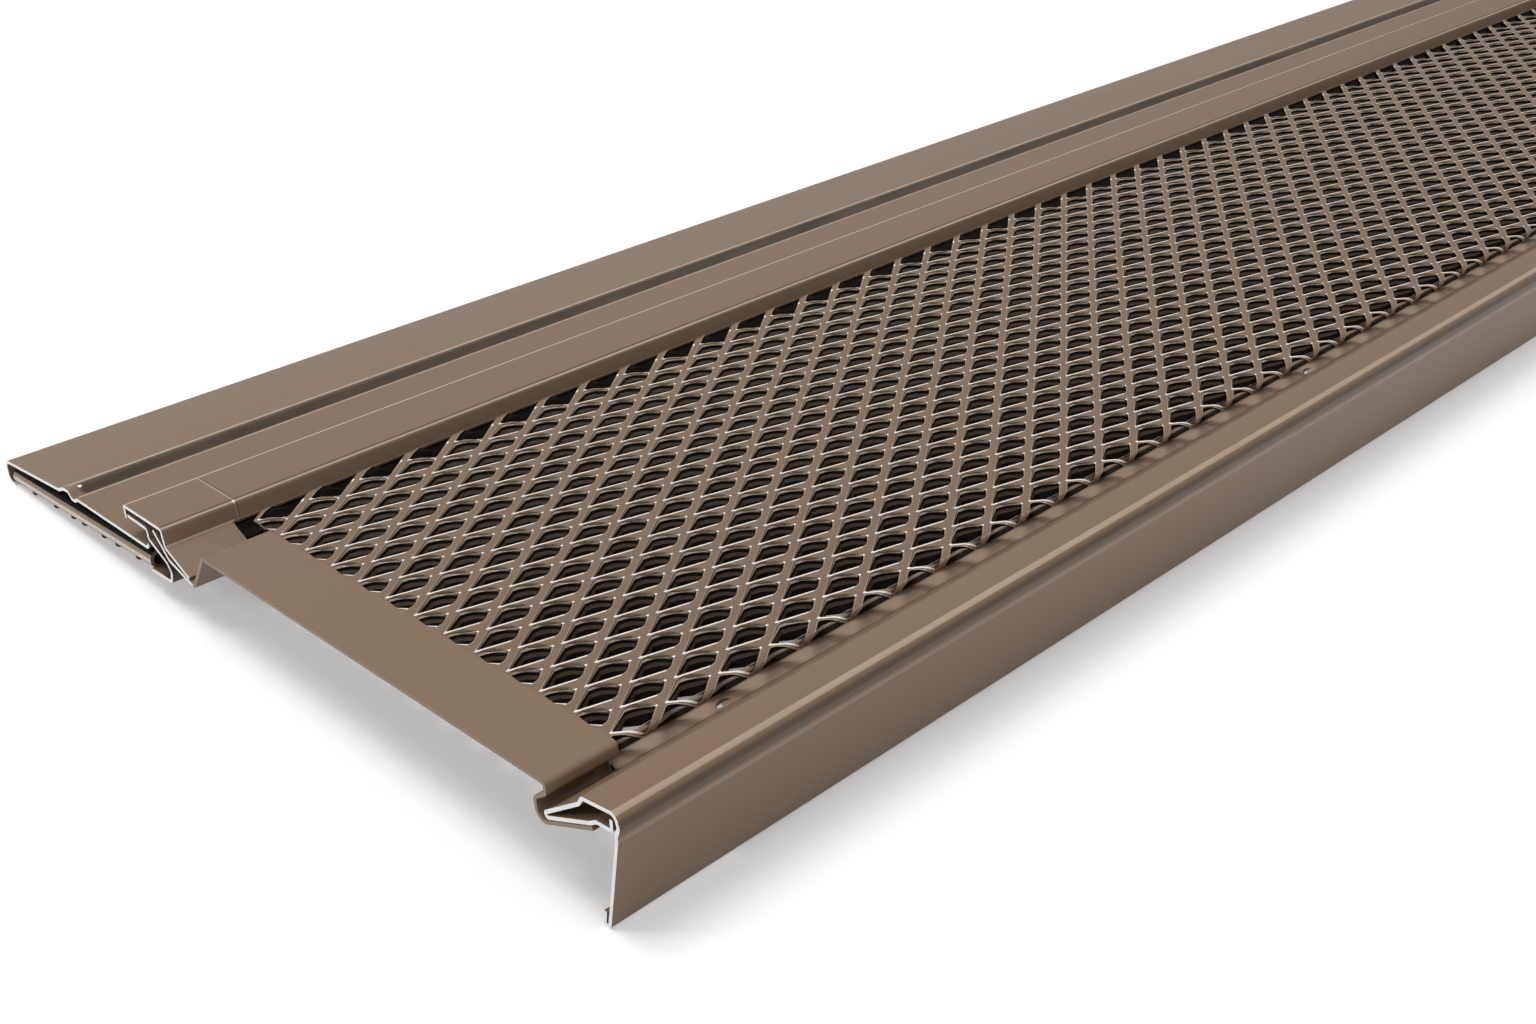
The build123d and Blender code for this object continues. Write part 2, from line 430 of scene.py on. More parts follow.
@dataclass(frozen=True)
class CutEdge:
    """Bare aluminium where the painted strip was sheared.

    Attributes:
        name: the material's name.
        colour: the metal's colour, linear.
        metallic: how far it mirrors like clean metal, 0 to 1.
    """

    name: str
    colour: Triple = (0.95, 0.95, 0.95)
    metallic: float = 0.3

    @cache
    def build(self) -> Material:
        """Build the node material, once: fine shear lines across the sheet's thickness.

        Returns:
            The material.
        """
        n = Nodes(bpy.data.materials.new(self.name))
        base = np.array(self.colour)
        lines = n.noise(SHEAR, 2.0, (1.0, 0.3))
        bump = n.add("Bump", Height=lines, Distance=SHEAR_HEIGHT, Strength=0.5)
        return n.finish(n.add(
            "BsdfPrincipled", Base_Color=n.blend(lines, opaque(base * 0.8), opaque(base)),
            Roughness=n.math("MULTIPLY_ADD", lines, 0.2, 0.35), Normal=bump.outputs[0],
            Metallic=self.metallic,
        ))


CUT_EDGE = CutEdge("bare_cut_edge")
# Strand finishes: plain paint, then painted light: a near-white painted highlight on the sheared
# edges, white painted glints at the pinched corners, painted shade down the sides, near-black
# painted shade deep inside, and a lighter painted highlight on the crests
STRANDS = {
    Look.PAINT: PaintedStrip("strand_paint", (0.222, 0.148, 0.097), 0.08, 0.34),
    Look.EDGE: PaintedStrip("strand_edge_highlight", (0.92, 0.84, 0.76), 0.08, 0.25),
    Look.CORNER: CutEdge("strand_corner_glint", (0.97, 0.96, 0.94), 0.0),
    Look.SIDE: PaintedStrip("strand_side_shade", (0.085, 0.057, 0.036), 0.15, 0.4, shine=0.3),
    Look.DEPTH: PaintedStrip("strand_black_shade", (0.008, 0.005, 0.003), 0.1, 0.5, shine=0.1),
    Look.CREST: PaintedStrip("strand_crest_highlight", (0.36, 0.275, 0.205), 0.15, 0.22),
}


# ---- section geometry


def rounded_line(points: tuple[Point, ...], radii: tuple[float, ...], step: float = 14.0) -> Array:
    """Centreline with each inner corner replaced by an arc.

    A corner of half angle h is cut back by radius / tan(h) on both legs, and the arc between
    the cuts is drawn about the point radius / sin(h) along the corner's bisector.

    Args:
        points: the corners, first to last.
        radii: arc radius at each inner corner.
        step: largest turn between two points of an arc, degrees.

    Returns:
        Points (n, 2).
    """
    p = np.array(points, float)
    out = [p[:1]]
    for i, radius in enumerate(radii, start=1):
        back = (p[i - 1] - p[i]) / np.linalg.norm(p[i - 1] - p[i])
        ahead = (p[i + 1] - p[i]) / np.linalg.norm(p[i + 1] - p[i])
        half = math.acos(float(np.clip(back @ ahead, -1, 1))) / 2
        bisector = (back + ahead) / np.linalg.norm(back + ahead)
        centre = p[i] + bisector * radius / math.sin(half)
        start = p[i] + back * radius / math.tan(half) - centre
        end = p[i] + ahead * radius / math.tan(half) - centre
        turn = math.pi - 2 * half
        side = math.copysign(1.0, start[0] * end[1] - start[1] * end[0])
        angles = side * np.linspace(0, turn, max(2, math.ceil(math.degrees(turn) / step)) + 1)
        c, s = np.cos(angles), np.sin(angles)
        arc = np.stack([start[0] * c - start[1] * s, start[0] * s + start[1] * c], 1)
        out.append(centre + arc)
    out.append(p[-1:])
    return np.concatenate(out)


def arc_length(line: Array) -> Array:
    """Distance along a polyline at each of its points."""
    return np.concatenate([[0], np.cumsum(np.linalg.norm(np.diff(line, axis=0), axis=1))])


def normals_along(line: Array) -> Array:
    """Unit normals of a polyline, to the left of its direction.

    At an inner point the normal is the sum of the two legs' normals, scaled so that the offset
    lines stay parallel to the legs.

    Args:
        line: points (n, 2).

    Returns:
        Normals (n, 2).
    """
    leg = np.diff(line, axis=0)
    leg /= np.linalg.norm(leg, axis=1, keepdims=True)
    side = np.stack([-leg[:, 1], leg[:, 0]], 1)
    total = np.concatenate([side[:1], side[:-1] + side[1:], side[-1:]])
    total[1:-1] /= 1 + np.sum(side[:-1] * side[1:], axis=1)[:, None]
    return total


def grid_faces(rows: int, columns: int) -> Array:
    """Quads between neighbouring points of a grid numbered row by row, each row a closed ring.

    Args:
        rows: number of rows.
        columns: number of columns.

    Returns:
        Quads (n, 4).
    """
    r = np.arange(rows - 1)[:, None] * columns
    c = np.arange(columns)[None, :]
    ahead = (c + 1) % columns
    return np.stack([r + c, r + ahead, r + columns + ahead, r + columns + c], -1).reshape(-1, 4)


def end_cap(around: int) -> Array:
    """Quads that close a ring whose second half runs back beside its first."""
    i = np.arange(around // 2 - 1)
    return np.stack([i, i + 1, around - 2 - i, around - 1 - i], 1)


def copies(faces: Array, times: int, points: int) -> Array:
    """Faces of many copies of a shape with that many points, one after the other."""
    return (faces[None] + (np.arange(times) * points)[:, None, None]).reshape(-1, 4)


def make_piece(
    name: str,
    points: Array,
    faces: Array,
    materials: list[Material],
    picks: Array | None = None,
    sharp: float = 40.0,
) -> Piece:
    """Make a mesh object at the origin.

    Points in the same place become one vertex. A quad that is left with three corners becomes
    a triangle, and one with fewer is dropped.

    Args:
        name: the object's name.
        points: vertices (n, 3), metres.
        faces: quads (m, 4).
        materials: its materials.
        picks: material index of each face, or None.
        sharp: angle past which an edge is sharp, degrees.

    Returns:
        The object, linked to the scene.
    """
    keys, back = np.unique(np.round(points * 1e7).astype(np.int64), axis=0, return_inverse=True)
    merged = np.zeros((len(keys), 3))
    merged[back.ravel()] = points
    faces = back.ravel()[faces]
    same = faces == np.roll(faces, -1, axis=1)
    crossed = (faces[:, 0] == faces[:, 2]) | (faces[:, 1] == faces[:, 3])
    keep = (same.sum(1) <= 1) & ~crossed
    faces, same = faces[keep], same[keep]
    counts = 4 - same.sum(1)
    corners = faces[~same]
    mesh = bpy.data.meshes.new(name)
    mesh.vertices.add(len(merged))
    mesh.vertices.foreach_set("co", merged.astype(np.float32).ravel())
    mesh.loops.add(len(corners))
    mesh.loops.foreach_set("vertex_index", corners.astype(np.int32))
    mesh.polygons.add(len(faces))
    starts = np.concatenate([[0], np.cumsum(counts)[:-1]]).astype(np.int32)
    mesh.polygons.foreach_set("loop_start", starts)
    mesh.polygons.foreach_set("loop_total", counts.astype(np.int32))
    for material in materials:
        mesh.materials.append(material)
    if picks is not None:
        mesh.polygons.foreach_set("material_index", picks[keep].astype(np.int32))
    mesh.update(calc_edges=True)
    mesh.validate()
    mesh.shade_smooth()
    mesh.set_sharp_from_angle(angle=math.radians(sharp))
    piece = bpy.data.objects.new(name, mesh)
    bpy.context.scene.collection.objects.link(piece)
    return piece


def fit(piece: Piece, node: str) -> Piece:
    """Let a piece ride on the guard and the CAD node it stands for.

    Args:
        piece: the piece.
        node: the CAD node.

    Returns:
        The piece.
    """
    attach(piece, "root")
    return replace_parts(piece, node)


@dataclass
class RolledStrip:
    """One strip of sheet, rolled to a section and cut off square.

    Attributes:
        name: the piece's name.
        slot: its material slot.
        node: CAD node that it stands for.
        paint: finish of its faces.
        corners: corners of the section's centreline, (u, v).
        radii: arc radius at each inner corner, mm.
        start: where it begins along the guard, mm.
        end: where it ends, mm.
        stations: divisions along its length.
        thickness: of its sheet, mm.
        bare: share of the centreline, from and to, whose cut ends are bare metal.
        sway: how far the sheet wanders from flat, mm.
    """

    name: str
    slot: Slot
    node: str
    paint: PaintedStrip
    corners: tuple[Point, ...]
    radii: tuple[float, ...]
    start: float = -LENGTH / 2
    end: float = LENGTH / 2
    stations: int = 60
    thickness: float = SHEET
    bare: Point = (0.0, 1.0)
    sway: float = 0.02

    def trims(self, line: Array) -> Array:
        """How far each centreline point is cut back from both ends, mm."""
        return np.zeros(len(line))

    def wander(self, x: Array, u: Array) -> Array:
        """Height above flat: the sum of a long and a short sine wave over x and u, mm."""
        long, short = np.sin(x / 61.0 + u / 17.0), np.sin(x / 23.0 + 1.7 + u / 29.0)
        return self.sway * (long * 0.6 + short * 0.4)

    def shape(self) -> tuple[Array, Array, Array]:
        """Points, faces and material indices of the strip.

        The section's two faces are the centreline moved by half the sheet to either side. They
        are carried along X as one closed ring, and the ring's two halves are joined at each end.

        Returns:
            Points in metres, quads and one material index for each quad.
        """
        line = rounded_line(self.corners, self.radii)
        side = normals_along(line) * self.thickness / 2
        ring = np.concatenate([line + side, (line - side)[::-1]])
        trim = self.trims(line)
        trim = np.concatenate([trim, trim[::-1]])
        share = np.linspace(0, 1, self.stations + 1)[:, None]
        first, last = self.start + trim, self.end - trim
        x = first + (last - first) * share
        u, v = ring.T
        points = ATTITUDE.world(x, u, v + self.wander(x, u)).reshape(-1, 3)
        walls, cap = grid_faces(self.stations + 1, len(ring)), end_cap(len(ring))
        far = cap[:, ::-1] + self.stations * len(ring)
        run = arc_length(line)
        middle = (run[:-1] + run[1:]) / (2 * run[-1])
        bare = ((middle >= self.bare[0]) & (middle <= self.bare[1])).astype(int)
        picks = np.concatenate([np.zeros(len(walls), int), bare, bare])
        return points, np.concatenate([walls, cap, far]), picks

    def build(self) -> Piece:
        """Make the strip and dress it.

        Returns:
            The piece.
        """
        points, faces, picks = self.shape()
        looks = [self.paint.build(), CUT_EDGE.build()]
        return fit(make_piece(self.name, points, faces, looks, picks), self.node)


# ---- the guard's sub-assemblies


@dataclass
class Nose:
    """Folded front nose with its hanging skirt.

    Attributes:
        corners: its centreline, from the lip seat round the fold and the nose to the hem.
        radii: arc radius at each inner corner, mm.
        paint: its finish, with painted shade on the front face below the top bend, painted
            highlights along the top bend and the step, and painted shade in the crease at the
            ramp's foot.
    """

    corners: tuple[Point, ...] = (
        (-13.1, 0.9), (-13.1, -0.8), (-10.0, -1.05), (-8.7, -1.902), (0.6, -5.85), (0.6, -4.99),
        (-6.7, 0.047), (-7.5, 1.3), (-13.9, 2.1), (-14.45, 0.2), (-13.85, -1.35), (-13.9, -1.9),
        (-10.8, -17.4), (-9.864, -17.238), (-10.238, -15.071),
    )
    radii: tuple[float, ...] = (0.4,) * 7 + (1.2, 0.8, 0.3, 0.4, 0.46, 0.46)
    paint: PaintedStrip = PaintedStrip(
        "nose_paint", TAUPE, shine=0.28,
        lines=(
            # painted shade on the front face below the top bend
            Line(-14.75, 0.0, 1.6, (0.07, 0.046, 0.03), 0.75),
            # painted highlight along the top bend
            Line(-13.7, 2.2, 0.6, (0.55, 0.42, 0.31), 0.7),
            # painted highlight along the step at the skirt's top
            Line(-14.2, -1.95, 0.5, (0.4, 0.29, 0.21), 0.6),
            # painted shade in the crease where the ramp meets the land
            Line(0.3, -4.42, 0.22, SHADE, 0.5),
        ),
    )

    def build(self) -> list[Piece]:
        """Build the nose.

        Returns:
            Its pieces.
        """
        name, node = "nose_with_skirt", "front_nose"
        return [RolledStrip(name, Slot.NOSE, node, self.paint, self.corners, self.radii).build()]


@dataclass
class Rail:
    """Rear rail: lip, top, wall, and the toe that is left only beside the plain margins.

    Attributes:
        cap: centreline of the lip, the top and the wall.
        foot: where the wall ends over the field.
        toe: where the toe ends beside the margins.
        margin: length of each end that has a toe, mm.
        paint: its finish, with painted highlights along its bends and at the wall's foot beside
            the toes, a fine line of painted shade on the top behind the front bend, and at the
            seam beside the near toe a painted highlight, painted shade and a painted glint.
    """

    cap: tuple[Point, ...] = ((113.4, -2.1), (113.4, 0.2), (100.8, 0.2), (100.4, -3.0))
    foot: Point = (100.1, -3.14)
    toe: Point = (93.6, -6.2)
    margin: float = 12.2
    paint: PaintedStrip = PaintedStrip(
        "rail_paint", TAUPE,
        lines=(
            # painted highlight along the top's rear bend
            Line(113.25, 0.45, 0.34, (0.75, 0.66, 0.57), 1.0),
            # painted highlight along the top's front bend
            Line(100.7, 0.35, 0.24, HIGHLIGHT, 0.75),
            # painted shade in a fine line on the top behind its front bend
            Line(101.2, 0.5, 0.18, SHADE, 0.7),
            # painted highlight at the wall's foot, beside the toes only
            Line(100.12, -2.75, 0.2, HIGHLIGHT, 0.6, near_end=13.0),
        ),
        spots=(
            # the seam beside the near toe: a line of painted highlight, then one of painted shade
            Spot(13.4, 107.0, 0.0, (0.16, 10.0), HIGHLIGHT, 0.5),
            Spot(13.75, 107.0, 0.0, (0.16, 10.0), SHADE, 0.5),
            # painted glint where the seam meets the front bend
            Spot(13.4, 100.7, 0.35, (0.4, 0.35), GLINT),
        ),
    )

    def build(self) -> list[Piece]:
        """Build the rail's two ends and its long middle.

        Returns:
            Its pieces.
        """
        half, seam = LENGTH / 2, LENGTH / 2 - self.margin
        parts = (
            ("rail_end_left", self.toe, 0.7, -half, -seam, 4),
            ("rail_wall", self.foot, 0.1, -seam, seam, 56),
            ("rail_end_right", self.toe, 0.7, seam, half, 4),
        )
        return [
            RolledStrip(
                name, Slot.RAIL, "rear_rail", self.paint, (*self.cap, tip), (0.4, 0.7, bend), *run
            ).build()
            for name, tip, bend, *run in parts
        ]


@dataclass
class FlangeStrip(RolledStrip):
    """The flange's strip, whose lower leaf stops short of the ends, where it is rolled up.

    Attributes:
        cut_back: how far the lower leaf stops short, mm.
    """

    cut_back: float = 1.7

    def trims(self, line: Array) -> Array:
        """Cut back the points of the lower leaf, which lie below -9 and between its ends.

        Args:
            line: the centreline (n, 2).

        Returns:
            How far each point is cut back from both ends, mm.
        """
        u, v = line.T
        low = (v < -9.0) & (u > LEAF[0] - 0.01) & (u < LEAF[1] + 0.01)
        return np.where(low, self.cut_back, 0.0)


@dataclass
class Flange:
    """Rear flange: hook under the rail, web, and two leaves joined by the rear fold.

    Attributes:
        corners: its centreline, from the hook by the lower leaf and the fold to the top leaf.
        radii: arc radius at each inner corner, mm.
        leaf_height: of the middle of the lower leaf where it starts, v in mm.
        leaf_slope: how far the lower leaf falls for each mm to the rear.
        curl_radius: of the rolled ends' middle, mm.
        curl_points: points along each half ring, and along the guard's depth.
        highlight_steps: steps around the rolled end painted light as a highlight, from and to.
        dark: steps around the rolled end painted near black as shade under the top leaf, from and
            to.
        dent: depth and pitch of the waves on the rolled ends, mm.
        crimps_at: where the crimp marks lie, u in mm.
        crimp_size: half sizes of a crimp mark along x, u and v, mm.
        crimp_points: points around and up a crimp mark.
        crimp_in: distance of a crimp mark from the guard's end, mm.
        crimp_up: how far its middle lies above the leaf's lower face, mm.
        paint: its finish, with painted shade over the deep hook and in the groove, painted
            highlights along the groove's sides and a painted glint at its tip.
        crest: paint made light along the rolled ends, as a painted highlight.
    """

    corners: tuple[Point, ...] = (
        (112.65, -1.4), (106.1, -1.6), (106.2, -3.4), (101.0, -6.0), (99.9, -7.6), (100.6, -9.5),
        (107.39, -9.769), (107.41, -9.77), (161.59, -11.916), (161.61, -11.917),
        (163.7, -12.0), (163.7, -7.838), (140.6, -6.007), (138.4, -5.133), (136.6, -4.99),
        (135.4, -6.195), (134.2, -6.1), (133.0, -5.5), (107.4, -5.5), (106.6, -4.7),
    )
    radii: tuple[float, ...] = (0.7,) * 4 + (0.4,) + (0.01,) * 4 + (1.5, 1.5) + (0.4,) * 7
    leaf_height: float = -9.77
    leaf_slope: float = 0.03962
    curl_radius: float = 1.4
    curl_points: tuple[int, int] = (15, 120)
    highlight_steps: tuple[int, int] = (6, 8)
    dark: tuple[int, int] = (10, 14)
    dent: Point = (0.06, 2.9)
    crimps_at: tuple[float, ...] = (154.8, 145.9, 138.8, 134.5, 126.8, 121.6, 114.0)
    crimp_size: Triple = (0.5, 0.9, 0.44)
    crimp_points: tuple[int, int] = (12, 7)
    crimp_in: float = 0.95
    crimp_up: float = 0.12
    paint: PaintedStrip = PaintedStrip(
        "flange_paint", TAUPE, roughness=0.33,
        lines=(
            # painted shade over the hook, deep under the rail
            Line(101.0, -6.5, 4.4, SHADE, 0.9),
            # painted shade in the groove, with round tips short of the ends
            Line(136.35, -5.35, 1.75, SHADE, 0.88, from_end=1.6),
            # painted highlights along both sides of the groove
            Line(138.35, -4.85, 0.3, HIGHLIGHT, 0.85, from_end=0.8),
            Line(134.5, -5.8, 0.3, HIGHLIGHT, 0.85, from_end=0.8),
        ),
        # painted glint at the groove's tip
        spots=(Spot(2.3, 136.6, -4.9, (0.5, 0.42), GLINT),),
    )
    # lighter paint as a painted highlight along the rolled ends
    crest: PaintedStrip = PaintedStrip("curl_crest_highlight", HIGHLIGHT, 0.08, 0.28)

    def leaf(self, u: Array) -> Array:
        """Height of the lower leaf's middle, which falls evenly to the rear, mm."""
        return self.leaf_height - self.leaf_slope * (u - LEAF[0])

    def curl(self, name: str, side: int) -> Piece:
        """One rolled end of the lower leaf.

        The half ring of mean radius curl_radius rises from the leaf and turns back over it. Its
        outline, an outer and an inner arc, is carried to the rear along the leaf, and dips a
        little in a wave, a squared sine, where the leaf was crimped.

        Args:
            name: the piece's name.
            side: -1 for the near end, 1 for the far end.

        Returns:
            The piece.
        """
        outer, inner = self.curl_radius + SHEET / 2, self.curl_radius - SHEET / 2
        turn = np.linspace(-math.pi / 2, math.pi / 2, self.curl_points[0])
        arc = np.stack([np.cos(turn), np.sin(turn)], 1)
        ring = np.concatenate([arc * outer, (arc * inner)[::-1]])
        run = np.linspace(*LEAF, self.curl_points[1])[:, None]
        wave = self.dent[0] * np.sin(run * 2 * math.pi / self.dent[1]) ** 2
        x = side * (LENGTH / 2 - outer + ring[:, 0] * (1 - wave / outer))
        height = self.leaf(run) + self.curl_radius + ring[:, 1]
        points = ATTITUDE.world(x, run, height).reshape(-1, 3)
        walls, cap = grid_faces(len(run), len(ring)), end_cap(len(ring))
        far = cap + (len(run) - 1) * len(ring)
        faces = np.concatenate([walls[:, ::-1], cap[:, ::-1], far])
        if side < 0:
            faces = faces[:, ::-1]
        # Around the rolled end: a band of steps painted light as a highlight, and the upper steps
        # painted near black as shade; the rest keeps the flange's paint
        around = np.zeros(len(ring), int)
        around[slice(*self.highlight_steps)] = 1
        around[slice(*self.dark)] = 2
        picks = np.concatenate([np.tile(around, len(run) - 1), np.zeros(2 * len(cap), int)])
        looks = [finish.build() for finish in (self.paint, self.crest, STRANDS[Look.DEPTH])]
        return fit(make_piece(name, points, faces, looks, picks), "rear_flange")

    def crimps(self) -> Piece:
        """Small crimp marks that stand out under the rolled ends, painted near black as shade.

        Each is an ellipsoid about a point on the rolled end's lower side: with a the turn about
        its upright axis and b the height angle, its points are (cos a cos b, sin a cos b, sin b)
        times its three half sizes.

        Returns:
            The piece.
        """
        around, up = self.crimp_points
        a, b = np.meshgrid(
            np.linspace(0, 2 * math.pi, around, endpoint=False),
            np.linspace(-math.pi / 2, math.pi / 2, up),
        )
        shape = np.stack([np.cos(a) * np.cos(b), np.sin(a) * np.cos(b), np.sin(b)], -1)
        shape = (shape * self.crimp_size).reshape(1, -1, 3)
        run = np.tile(self.crimps_at, 2)
        side = np.repeat([-1.0, 1.0], len(self.crimps_at))
        low = self.leaf(run) - SHEET / 2 + self.crimp_up
        middle = np.stack([side * (LENGTH / 2 - self.crimp_in), run, low], 1)
        points = ATTITUDE.world(*(shape + middle[:, None]).reshape(-1, 3).T)
        faces = copies(grid_faces(up, around), len(run), up * around)
        piece = make_piece("leaf_crimps", points, faces, [STRANDS[Look.DEPTH].build()])
        return fit(piece, "rear_flange")

    def build(self) -> list[Piece]:
        """Build the rolled ends, the flange and the crimp marks.

        Returns:
            Its pieces.
        """
        ends = [self.curl("leaf_curl_left", -1), self.curl("leaf_curl_right", 1)]
        name, node = "rear_flange_leaves", "rear_flange"
        strip = FlangeStrip(name, Slot.FLANGE, node, self.paint, self.corners, self.radii)
        return [*ends, strip.build(), self.crimps()]


@dataclass(frozen=True)
class Opening:
    """One kind of opening in the lattice, with its corners counterclockwise around its centre.

    Attributes:
        nodes: corners of the cell, where the strands' middles cross, mm.
        hole: corners of the hole, mm.
        edges: width of the sheared edge beside each side of the hole, which mostly carries a
            painted highlight, mm.
        cuts: how far each corner of the hole is cut back, mm.
        extra: points added along each side.
        glints: corners where the paint is pinched off to bare metal, made white as a painted
            glint.
        lobe: swell of the rung's front, 0 to 1, side by side.
        bow: how far the rung's top lies further to the rear, mm, side by side.
        node_cut: distance of the cell's points from its corners, mm.
        ease: how far the middle of a cut corner of the hole stays out, 0 to 1.
        pinch: how far the white painted glint of bare metal reaches past a pinched corner, mm.
    """

    nodes: Array
    hole: Array
    edges: tuple[float, ...]
    cuts: tuple[float, ...]
    extra: tuple[int, ...]
    glints: tuple[int, ...]
    lobe: tuple[tuple[float, ...], ...] = ((0.0,),) * 5
    bow: tuple[tuple[float, ...], ...] = ((0.0,),) * 5
    node_cut: float = 1.5
    ease: float = 0.3
    pinch: float = 0.34

    @staticmethod
    def inset(corners: Array, widths: tuple[float, ...] | Array) -> Array:
        """Move each side of a polygon inwards by its own width.

        Each corner moves by the shortest step that brings it onto both moved sides.

        Args:
            corners: the polygon's corners, counterclockwise.
            widths: one width for each side, from its first corner on.

        Returns:
            The new corners.
        """
        way = np.roll(corners, -1, 0) - corners
        way /= np.linalg.norm(way, axis=1, keepdims=True)
        inner = np.stack([-way[:, 1], way[:, 0]], 1)
        pairs = np.stack([np.roll(inner, 1, 0), inner], 1)
        wanted = np.stack([np.roll(widths, 1), widths], 1)[..., None]
        return corners + (np.linalg.pinv(pairs) @ wanted)[..., 0]

    def ring(self, corners: Array, cuts: tuple[float, ...] | float, ease: float) -> Array:
        """Points around a polygon: three at each corner, then the extra ones of its side.

        Args:
            corners: the polygon's corners.
            cuts: how far each corner is cut back, mm.
            ease: 1 leaves each cut's middle point at the corner, 0 puts it on the chord.

        Returns:
            Points (n, 2).
        """
        cuts = np.broadcast_to(cuts, len(corners))[:, None]
        way = np.roll(corners, -1, 0) - corners
        way /= np.linalg.norm(way, axis=1, keepdims=True)
        before = corners - np.roll(way, 1, 0) * cuts
        after = corners + way * cuts
        middle = corners + ((before + after) / 2 - corners) * (1 - ease)
        out = []
        for i, extra in enumerate(self.extra):
            out += [before[i], middle[i], after[i]]
            last = before[(i + 1) % len(corners)]
            out += [after[i] + (last - after[i]) * k / (extra + 1) for k in range(1, extra + 1)]
        return np.array(out)

    def outline(self) -> Array:
        """Points around the hole."""
        return self.ring(self.hole, self.cuts, self.ease)

    def brow(self) -> Array:
        """Points around the sheared edge's outer side, pushed out at the pinched corners.

        Returns:
            Points (n, 2).
        """
        corners = self.inset(self.hole, -np.array(self.edges))
        out = corners - corners.mean(0)
        out /= np.linalg.norm(out, axis=1, keepdims=True)
        bare = np.isin(np.arange(len(corners)), self.glints)[:, None]
        return self.ring(corners + out * bare * self.pinch, self.cuts, self.ease)

    def spread(self, sides: tuple[tuple[float, ...], ...]) -> Array:
        """Spread values given side by side over the points of a ring.

        Args:
            sides: for each side the value of its first corner, then of its extra points.

        Returns:
            A value for each point (n,), 0 where none is given.
        """
        out = []
        for side, extra in zip(sides, self.extra):
            out += [side[0]] * 3 + list(side[1:]) + [0.0] * (extra + 1 - len(side))
        return np.array(out)

    def sides(self) -> Array:
        """Find which side each step of a ring lies on.

        Returns:
            Numbers of sides (n,), with -1 at a corner that keeps bare metal, painted white as a
            glint.
        """
        out = []
        for i, extra in enumerate(self.extra):
            corner = -1 if i in self.glints else i
            out += [corner, corner] + [i] * (extra + 1)
        return np.array(out)


